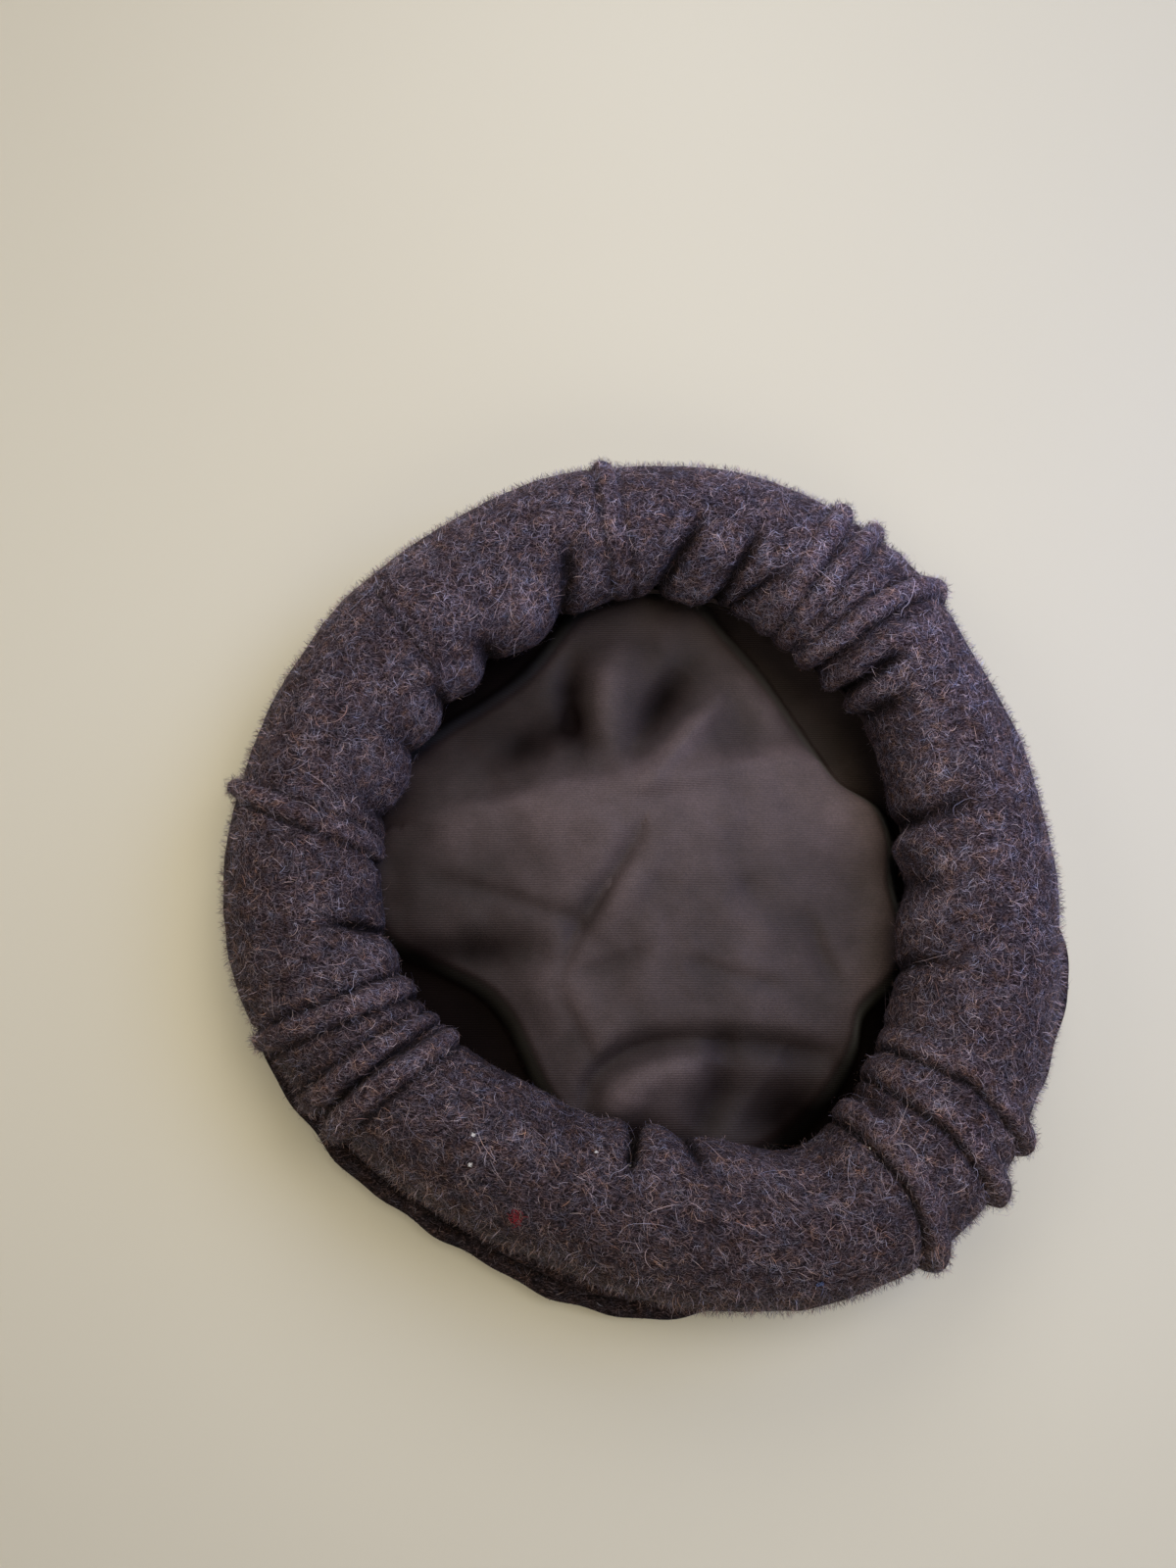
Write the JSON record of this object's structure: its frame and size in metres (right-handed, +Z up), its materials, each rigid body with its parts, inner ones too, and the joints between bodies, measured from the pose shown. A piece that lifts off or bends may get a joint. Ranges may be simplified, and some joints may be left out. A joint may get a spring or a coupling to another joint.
{
  "type": "pakol hat",
  "caption": "Soft round wool pakol lying upside down: flat crown with a sewn edge, thick rolled brim with corded tucks and gathers, satin lining.",
  "frame": {"origin": "middle of the cap's box at its lowest face, on the surface that the crown rests on", "axes": "+Z up out of the head opening, +X and +Y level, +Y away from the viewer of the picture and +X to that viewer's right"},
  "size_m": [0.2896, 0.2978, 0.0601],
  "materials": {
    "wool": "heathered dark brown and grey wool, brushed",
    "lining_satin": "taupe satin twill"
  },
  "bodies": {
    "root": {"crown": "wool", "rolled_brim": "wool", "lining": "lining_satin"}
  },
  "joints": []
}
